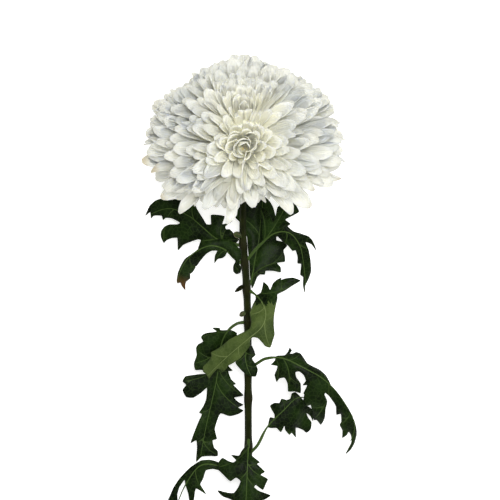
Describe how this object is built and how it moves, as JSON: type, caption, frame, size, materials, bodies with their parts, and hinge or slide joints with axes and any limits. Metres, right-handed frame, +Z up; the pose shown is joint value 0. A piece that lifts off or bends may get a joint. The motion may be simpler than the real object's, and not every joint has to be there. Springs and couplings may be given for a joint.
{
  "type": "cut chrysanthemum flower",
  "caption": "Cut chrysanthemum lying on its side: a large domed head of layered white petals on a bent leafy stem with lobed dark green leaves and small side buds.",
  "frame": {"origin": "on the table, below the middle of the flower's bounding box", "axes": "+Y along the stem towards the head, +Z up; the flower lies on the plane z = 0"},
  "size_m": [0.1474, 0.4182, 0.1107],
  "materials": {
    "petal": "satin, white with a cream-yellow heart",
    "leaf": "semi-matt dark green leaf",
    "underside": "matt paler green, the back of a leaf",
    "stem": "semi-matt ridged green stem, browner at the nodes",
    "bract": "matt green"
  },
  "bodies": {
    "root": {"bloom": "petal", "involucre": "bract", "stem": "stem", "leaf_upper_left": "leaf", "leaf_arched_left": "leaf", "leaf_upper_right": "leaf", "leaf_dark_right": "leaf", "leaf_folded_front": "underside", "leaf_hanging_left": "leaf", "leaf_small_front": "leaf", "leaf_arching_right": "leaf", "leaf_lower_right": "leaf", "leaf_lower_front": "leaf", "leaf_lower_left": "leaf", "bud_upper": "bract", "bud_lower": "bract"}
  },
  "joints": []
}
